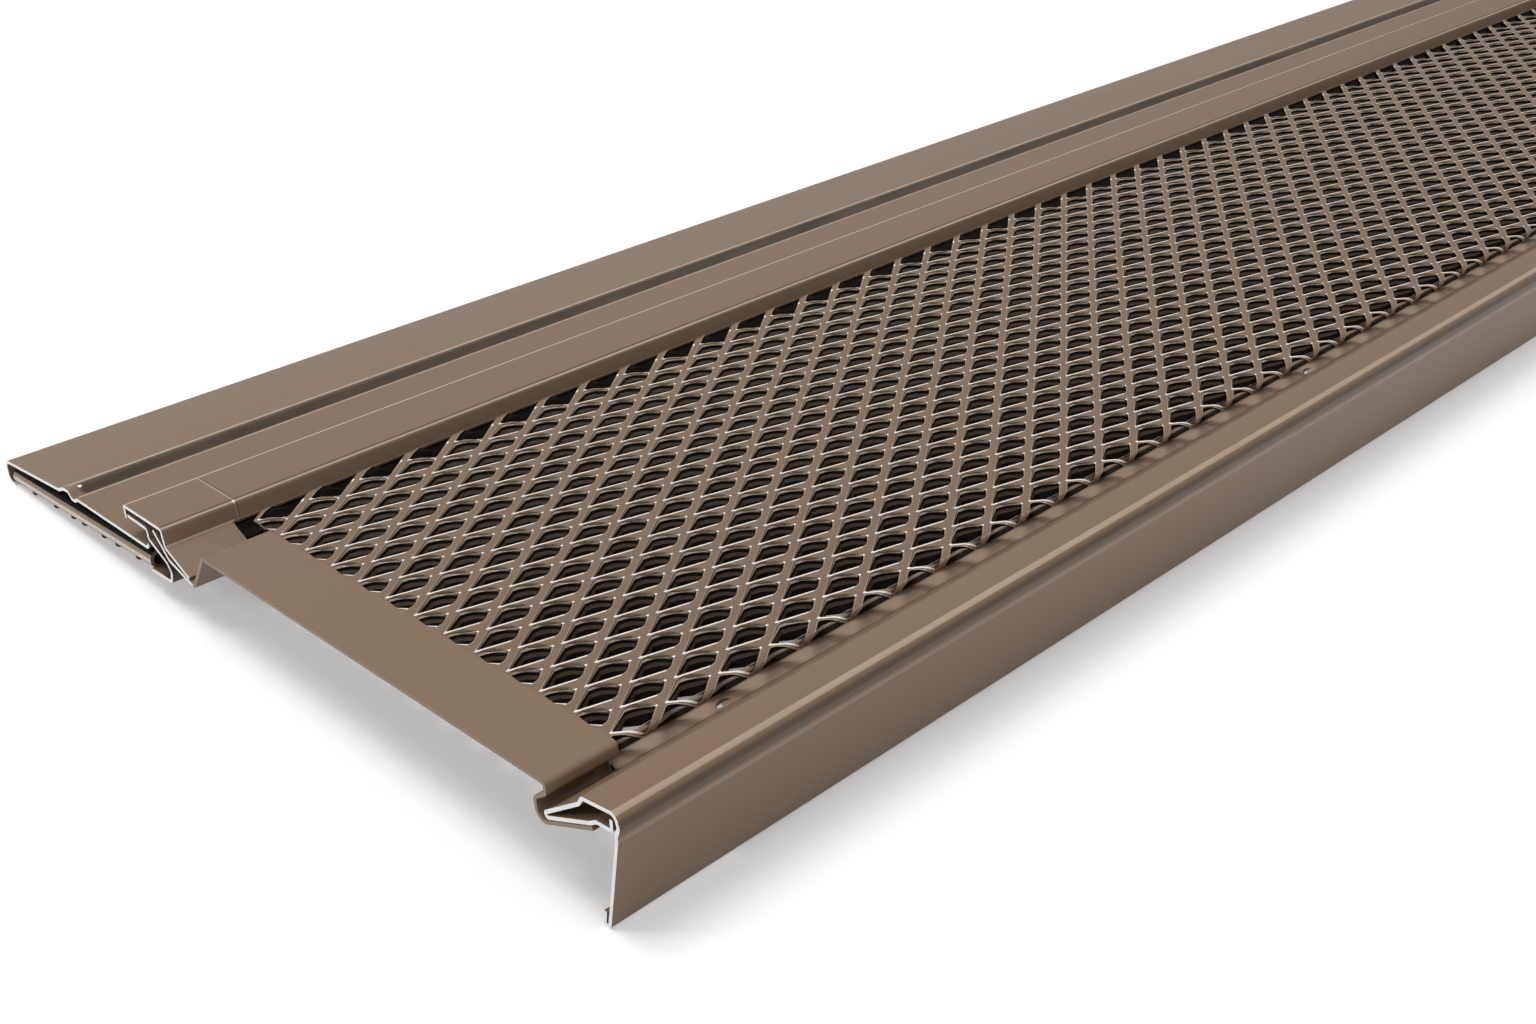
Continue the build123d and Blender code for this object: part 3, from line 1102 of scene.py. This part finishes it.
@dataclass
class Screen:
    """The raised expanded screen: plain edges and the field of diamond openings.

    Attributes:
        margin: plain strip at each end, mm.
        bays: CAD bays along the field.
        columns: openings along one bay.
        rows: openings across the flat.
        front: where the first row of openings is centred, mm.
        rear: where the last row is centred, at the rear bend, mm.
        rail: half width of the strands that run to the rear, mm.
        rung: half width of the thin strands in the first and last rows, mm.
        foot_rail: half width of the strands' feet, mm.
        depth: how far the strands hang, mm.
        lean: how far to the front their lower edge lies, as a share of the depth.
        foot: length of the strands' feet below the first crossings, mm.
        tail: length of the strands behind the last crossings, mm.
        path: corners of the section line that the field follows.
        path_radii: arc radius at each of its inner corners, mm.
        wedge: corners of an inner row's hole, mm.
        levels: rings down the strands' sides: depth, lean to the front and reach of lobes, mm.
        thin_front: arc length where strands start, mm over which they grow, and least share.
        thin_rear: the same at the rear.
        vary: how far lobes and depths differ from opening to opening, as shares.
        paint: finish of the plain edges.
        land: finish of the strip that the feet stand on, its paint lightened as painted light
            where the field shades it, with lance marks drawn in painted shade and a painted glint.
    """

    margin: float = 12.2
    bays: int = 10
    columns: int = 9
    rows: int = 12
    front: float = 2.4
    rear: float = 92.4
    rail: float = 0.66
    rung: float = 0.40
    foot_rail: float = 0.52
    depth: float = 2.6
    lean: float = 0.52
    foot: float = 3.35
    tail: float = 8.2
    path: tuple[Point, ...] = (
        (2.95, -3.95), (0.0, -1.5), (0.0, 0.0), (95.4, 0.0), (97.6, -3.6), (98.9, -5.4),
    )
    path_radii: tuple[float, ...] = (0.8, 1.0, 2.0, 1.5)
    wedge: tuple[Point, ...] = ((-4.11, -0.1), (1.82, -1.78), (4.11, 0.24), (0.52, 3.08))
    levels: tuple[Triple, ...] = (
        (0.03, 0.0, 0.0), (0.12, 0.0, 0.34), (0.30, 0.02, 0.74), (0.48, 0.04, 0.62),
        (0.60, 0.06, 0.2), (0.95, 0.22, 0.44), (1.45, 0.5, 0.56),
    )
    thin_front: Triple = (0.3, 4.5, 0.26)
    thin_rear: Triple = (99.0, 6.0, 0.4)
    vary: Point = (0.22, 0.08)
    paint: PaintedStrip = PaintedStrip("screen_paint", TAUPE)
    land: PaintedStrip = PaintedStrip(
        # paint lighter than the rest, as painted light on the strip that lies in the field's shade
        "land_paint_lightened", (0.38, 0.27, 0.19),
        spots=(
            # each lance mark: a dark arc of painted shade, the strip's lightened paint over most
            # of it, and a painted glint at one end, recurring along the guard
            Spot(32.0, 1.15, -4.2, (1.55, 0.62), SHADE, pitch=LANCES),
            Spot(32.0, 0.85, -4.3, (1.45, 0.5), (0.42, 0.3, 0.21), pitch=LANCES),
            Spot(31.2, 0.9, -4.3, (0.6, 0.32), GLINT, pitch=LANCES),
        ),
    )

    @property
    def pitch_long(self) -> float:
        """Spacing of the openings along the guard, mm."""
        return (LENGTH - 2 * self.margin) / (self.bays * self.columns)

    @property
    def pitch_short(self) -> float:
        """Spacing of the openings from front to rear, mm."""
        return (self.rear - self.front) / self.rows

    def section_line(self) -> tuple[Array, Array]:
        """The line that the field follows, and the arc length at each of its points.

        Arc length equals u over the flat. It runs negative down the front and on past the rear
        bend down to the rail.

        Returns:
            Points (n, 2) and arc lengths (n,).
        """
        line = rounded_line(self.path, self.path_radii, 8.0)
        run = arc_length(line)
        flat = int(np.argmax(line[:, 0] > 10.0))
        return line, run - run[flat] + line[flat, 0]

    def lay(self, x: Array, s: Array, forward: Array, down: Array) -> Array:
        """Lay the flat lattice over the section line.

        A point at arc length s goes to the line's point there, then forward against the line's
        direction and down against its normal.

        Args:
            x: along the guard, mm.
            s: arc length, mm.
            forward: distance to the front, mm.
            down: depth below the top face, mm.

        Returns:
            World points, metres.
        """
        line, run = self.section_line()
        s = np.clip(s - forward, run[0], run[-1])
        u, v = np.interp(s, run, line[:, 0]), np.interp(s, run, line[:, 1])
        way = np.gradient(line, run, axis=0)
        way /= np.linalg.norm(way, axis=1, keepdims=True)
        wu, wv = np.interp(s, run, way[:, 0]), np.interp(s, run, way[:, 1])
        return ATTITUDE.world(x, u + down * wv, v - down * wu)

    def kinds(self) -> tuple[Opening, ...]:
        """The four kinds of opening: open to the front, first row, inner rows, open to the rear.

        In the field the top of a rung is a wedge: thin beside the opening behind it, and wide
        where it joins the next rail, so that the hole's lower side climbs less than the cell's.
        The open ones have no rung on the far side, only the rails' feet or tails, which run on
        in the rails' direction.

        Returns:
            The kinds, from the front to the rear.
        """
        a, b = self.pitch_long / 2, self.pitch_short / 2
        rung, rail, foot_rail = self.rung, self.rail, self.foot_rail
        cell = np.array([(-a, 0.0), (0.0, -b), (a, 0.0), (0.0, b)])
        wedge = np.array(self.wedge)
        first = wedge.copy()
        first[1] = Opening.inset(cell, (rung, rail, rung, rail))[1]
        lobes = {
            "lobe": ((0.0,), (0.0,), (0.1, 0.7, 1.0, 0.95), (0.6,)),
            "bow": ((0.0,), (0.0,), (0.0, 0.72, 1.02, 0.72), (0.0,)),
        }
        slope = a / b
        step, back = self.foot * slope, self.tail * slope
        feet = np.array(
            [(-a, 0.0), (-a - step, -self.foot), (a - step, -self.foot), (a, 0.0), (0.0, b)]
        )
        tails = np.array(
            [(-a, 0.0), (0.0, -b), (a, 0.0), (a + back, self.tail), (back - a, self.tail)]
        )
        return (
            Opening(
                feet, Opening.inset(feet, (foot_rail, 0.12, foot_rail, rung, rail)),
                (0.14, 0.02, 0.05, 0.14, 0.14), (0.3, 0.3, 0.3, 0.3, 0.5),
                extra=(2, 0, 2, 3, 3), glints=(3,), node_cut=1.0,
            ),
            Opening(
                cell, first, (0.26, 0.06, 0.07, 0.08), (0.34, 0.5, 0.28, 0.3),
                extra=(3, 3, 3, 0), glints=(0, 2), **lobes,
            ),
            Opening(
                cell, wedge, (0.31, 0.05, 0.07, 0.07), (0.34, 0.75, 0.28, 0.30),
                extra=(0, 0, 3, 0), glints=(0, 2), **lobes,
            ),
            Opening(
                tails, Opening.inset(tails, (rung, rail, rail, 0.3, rail)),
                (0.26, 0.06, 0.05, 0.02, 0.06), (0.34, 0.5, 0.5, 0.3, 0.3),
                extra=(2, 0, 4, 0, 4), glints=(0, 2),
            ),
        )

    def looks(self, kind: Opening) -> Array:
        """The look of each quad of one opening, ring by ring from the top face down.

        The first side's edge is made near white as a painted highlight, the others but the third
        get a lighter painted highlight, the third keeps its paint, and the glint corners are
        painted white.
        The lobes carry a crest of painted highlight between two bands of painted shade. All that
        isn't a lobe is painted near black as shade.

        Args:
            kind: the kind of opening.

        Returns:
            Looks (n,), as numbers of Look.
        """
        side, swell = kind.sides(), kind.spread(kind.lobe)
        lobed = np.maximum(swell, np.roll(swell, -1)) > 0.3
        rim = np.select(
            [side < 0, side == 0, side == 2], [Look.CORNER, Look.EDGE, Look.PAINT], Look.CREST
        )
        paint, dark = np.full(len(side), Look.PAINT), np.full(len(side), Look.DEPTH)
        band, crest = np.where(lobed, Look.SIDE, dark), np.where(lobed, Look.CREST, dark)
        return np.concatenate([paint, rim, band, crest, band, dark, dark, band, dark])

    def batch(self, kind: Opening, cx: Array, cs: Array, seed: int) -> tuple[Array, Array, Array]:
        """Points, quads and looks of many openings of one kind.

        For each opening the rings are its cell's rim, the hole widened by its sheared edge, the
        hole, and the hole again at each level, moved to the front as the strands lean and
        swell. The rungs' tops bow to the rear. The last ring is the rim again at the strands'
        lower edge. Leans and depths shrink towards the front edge and the rail.

        Args:
            kind: the kind of opening.
            cx: centres along the guard, mm.
            cs: centres along the section line, mm.
            seed: of the small differences between openings.

        Returns:
            World points (n, 3), quads (m, 4) and a look for each quad.
        """
        shift = np.random.default_rng(seed).uniform(-1, 1, (2, len(cx), 1))
        rim = kind.ring(kind.nodes, kind.node_cut, 1.0)
        bow = kind.spread(kind.bow)
        bowed = np.stack([np.zeros(len(bow)), bow], 1)
        hole, brow = kind.outline() + bowed, kind.brow() + bowed
        swell = kind.spread(kind.lobe) * (1 + self.vary[0] * shift[0])
        none = np.zeros_like(swell)
        rings = [(rim, none, none), (brow, none, none)]
        for down, lean, reach in self.levels:
            deep = none + down * (1 + self.vary[1] * shift[1])
            rings.append((hole, lean + reach * swell, deep))
        rings.append((rim, none + self.lean * self.depth, none + self.depth))
        x = np.stack([none + ring[0][:, 0] for ring in rings], 1) + cx[:, None, None]
        s = np.stack([none + ring[0][:, 1] for ring in rings], 1) + cs[:, None, None]
        front, rear = self.thin_front, self.thin_rear
        thin = np.clip((s - front[0]) / front[1], front[2], 1.0)
        thin = thin * np.clip((rear[0] - s) / rear[1], rear[2], 1.0)
        forward = np.stack([ring[1] for ring in rings], 1) * thin
        down = np.stack([ring[2] for ring in rings], 1) * thin
        low, high = -LENGTH / 2 + self.margin, LENGTH / 2 - self.margin
        down = np.where((x < low) | (x > high), np.minimum(down, SHEET), down)
        points = self.lay(np.clip(x, low, high), s, forward, down).reshape(-1, 3)
        quads = grid_faces(len(rings), len(rim))[:, ::-1]
        faces = copies(quads, len(cx), len(rings) * len(rim))
        return points, faces, np.tile(self.looks(kind), len(cx))

    def bay(self, number: int) -> Piece:
        """One bay of the field.

        Openings in odd rows sit half a pitch along from those in even rows. Openings at the
        field's two ends are cut in half.

        Args:
            number: which bay, from 0.

        Returns:
            The piece.
        """
        start = -LENGTH / 2 + self.margin + number * self.columns * self.pitch_long
        even = start + (np.arange(self.columns) + 0.5) * self.pitch_long
        odd = start + np.arange(self.columns + (number == self.bays - 1)) * self.pitch_long
        step = self.pitch_short
        feet, first, inner, tails = self.kinds()
        plan = (
            (feet, odd, np.array([self.front - step / 2])),
            (first, even, np.array([self.front])),
            (inner, odd, self.front + (np.arange(self.rows) + 0.5) * step),
            (inner, even, self.front + np.arange(1, self.rows) * step),
            (tails, even, np.array([self.rear])),
        )
        points, faces, looks, total = [], [], [], 0
        for place, (kind, columns, rows) in enumerate(plan):
            cx, cs = np.tile(columns, len(rows)), np.repeat(rows, len(columns))
            p, f, look = self.batch(kind, cx, cs, 10 * number + place)
            points.append(p)
            faces.append(f + total)
            looks.append(look)
            total += len(p)
        piece = make_piece(
            f"mesh_strands_{number + 1}", np.concatenate(points), np.concatenate(faces),
            [STRANDS[look].build() for look in Look], np.concatenate(looks), sharp=50.0,
        )
        return fit(piece, f"mesh_bay_{number + 1}")

    def plain_edges(self) -> list[Piece]:
        """The margins with their full section, and the front and rear edges beside the field.

        Returns:
            The pieces.
        """
        half, seam = LENGTH / 2, LENGTH / 2 - self.margin
        full = (
            (-9.2, -2.505), (2.4, -7.429), (2.8, -3.7), (0.3, -2.0), (0.3, -0.3), (87.4, -0.3),
            (92.3, -7.3), (99.8, -5.2), (103.8, -1.0),
        )
        margin = (self.paint, full, (1.5, 1.2) + (0.7,) * 5)
        front = (*full[:2], (2.62, -4.6))
        land = ((3.0, -4.3), (1.7, -4.25), (0.5, -4.77))
        bead = ((3.08, -3.4), (3.08, -2.8), (3.52, -2.8), (3.52, -3.3))
        rear = ((98.6, -5.54), *full[-2:])
        near, middle, far = (-half, -seam, 6), (-seam, seam, 60), (seam, half, 6)
        bare_tail, narrow = {"bare": (0.90, 1.0)}, {"thickness": 0.4}
        plan = (
            ("margin_left", *margin, near, bare_tail),
            ("margin_right", *margin, far, bare_tail),
            ("screen_front_edge", self.paint, front, (1.5,), middle, {}),
            ("screen_front_land", self.land, land, (0.3,), middle, {}),
            # the bead gets the lighter crest paint, as a painted highlight
            ("screen_front_bead", STRANDS[Look.CREST], bead, (0.21, 0.21), middle, narrow),
            # the rear edge is painted near black, as shade deep under the rail
            ("screen_rear_edge", STRANDS[Look.DEPTH], rear, (0.7,), middle, {}),
        )
        return [
            RolledStrip(name, Slot.SCREEN, "screen_frame", *section, *run, **rest).build()
            for name, *section, run, rest in plan
        ]

    def build(self) -> list[Piece]:
        """Build the plain edges and every bay of the field.

        Returns:
            The pieces.
        """
        return self.plain_edges() + [self.bay(number) for number in range(self.bays)]


# ---- floor, light and camera


@dataclass(frozen=True)
class Lamp:
    """A square lamp that looks at the guard's near half.

    Attributes:
        name: its name.
        place: where it hangs, metres.
        size: its side, metres.
        power: watts.
        aim: the point that it looks at, metres.
    """

    name: str
    place: Triple
    size: float
    power: float
    aim: Triple = (-0.25, 0.0, 0.0)

    def build(self) -> None:
        """Hang the lamp and turn it to its aim."""
        data = bpy.data.lights.new(self.name, "AREA")
        data.size = self.size
        data.energy = self.power
        lamp = bpy.data.objects.new(self.name, data)
        lamp.location = self.place
        way = Vector(self.aim) - Vector(self.place)
        lamp.rotation_euler = way.to_track_quat("-Z", "Y").to_euler()
        bpy.context.scene.collection.objects.link(lamp)


@dataclass
class Studio:
    """White floor, white surroundings, soft lamps and the camera.

    Attributes:
        floor_size: side of the floor, metres.
        floor_colour: its colour, linear.
        glow: what the open floor adds for the camera and for reflections.
        shaded: half length and half depth of the floor under the guard that doesn't glow, which
            leaves painted shade there, metres.
        fade: how steeply the glow begins beside it, for each metre.
        sky: strength of the light from all round.
        lamps: the lamps.
    """

    floor_size: float = 12.0
    floor_colour: Triple = (0.76, 0.76, 0.76)
    glow: float = 0.32
    shaded: Point = (0.425, 0.078)
    fade: float = 90.0
    sky: float = 0.30
    lamps: tuple[Lamp, ...] = (
        Lamp("key", (-0.62, 0.45, 2.0), 1.0, 24.3),
        Lamp("front_fill", (-0.6, -1.2, 2.2), 1.0, 5.0),
        Lamp("end_light", (-2.3, -0.5, 0.7), 0.7, 3.5),
        Lamp("bend_light", (0.85, -0.75, 1.2), 0.4, 3.0),
        Lamp("curl_light", (-1.8, 1.4, 0.7), 0.3, 7.0),
    )

    def floor(self) -> None:
        """A large floor that looks white to the camera and keeps the guard's shadow.

        The surface is a plain pale diffuse. Where the camera or a reflection sees it, part of
        its colour is given off, so that it comes out white away from the shadow. That part
        fades to nothing within the guard's own outline, which paints shade on the floor under the
        guard: its share is the larger of |x| and |y| past the shaded half length and half depth,
        times fade, held between 0 and 1.
        """
        h = self.floor_size / 2
        corners = np.array([(-h, -h, 0.0), (h, -h, 0.0), (h, h, 0.0), (-h, h, 0.0)])
        n = Nodes(bpy.data.materials.new("studio_floor"))
        path = n.add("LightPath")
        seen = n.math("MAXIMUM", path.outputs["Is Camera Ray"], path.outputs["Is Glossy Ray"])
        seen = n.math("MAXIMUM", seen, path.outputs["Is Transmission Ray"])
        place = n.add("SeparateXYZ", n.place())
        beyond = [
            n.math("SUBTRACT", n.math("ABSOLUTE", place.outputs[i]), half)
            for i, half in enumerate(self.shaded)
        ]
        open_floor = n.unit(n.math("MULTIPLY", n.math("MAXIMUM", *beyond), self.fade))
        strength = n.math("MULTIPLY", n.math("MULTIPLY", seen, open_floor), self.glow)
        pale = n.add("BsdfDiffuse", Color=opaque(self.floor_colour))
        glow = n.add("Emission", Color=WHITE, Strength=strength)
        both = n.add("AddShader", pale.outputs[0], glow.outputs[0])
        make_piece("studio_floor", corners, np.array([[0, 1, 2, 3]]), [n.finish(both)])

    def world(self) -> None:
        """Even grey light from all round, seen as white."""
        n = Nodes(bpy.data.worlds.new("studio_world"))
        seen = n.add("LightPath").outputs["Is Camera Ray"]
        soft = n.add("Background", Color=WHITE, Strength=self.sky)
        white = n.add("Background", Color=WHITE)
        mix = n.add("MixShader", seen, soft.outputs[0], white.outputs[0])
        bpy.context.scene.world = n.finish(mix, "OutputWorld")

    def camera(self) -> None:
        """The camera, worked out from points known both in the picture and on the guard."""
        data = bpy.data.cameras.new("camera")
        data.sensor_width = 36.0
        data.lens = 42.347
        data.clip_start, data.clip_end = 0.01, 50.0
        camera = bpy.data.objects.new("camera", data)
        bpy.context.scene.collection.objects.link(camera)
        place = Vector((-0.5652726, -0.2268976, 0.1589455))
        right = Vector((0.7117524, -0.7023274, -0.0120325))
        down = Vector((-0.3489280, -0.3386399, -0.8738262))
        ahead = Vector((0.6096374, 0.6261463, -0.4860895))
        turn = Matrix((right, -down, -ahead)).transposed()
        camera.matrix_world = Matrix.Translation(place) @ turn.to_4x4()
        bpy.context.scene.camera = camera

    def build(self) -> None:
        """Build the whole studio."""
        self.floor()
        self.world()
        for lamp in self.lamps:
            lamp.build()
        self.camera()
        bpy.context.scene.view_settings.view_transform = "Standard"


def main() -> None:
    """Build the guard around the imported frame, and report each piece."""
    logging.basicConfig(level=logging.INFO, format="%(message)s")
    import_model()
    for assembly in (Nose(), Screen(), Rail(), Flange()):
        for piece in assembly.build():
            mesh = piece.data
            mesh.calc_loop_triangles()
            log.info("%s: %d triangles", piece.name, len(mesh.loop_triangles))
    Studio().build()


if __name__ == "__main__":
    main()
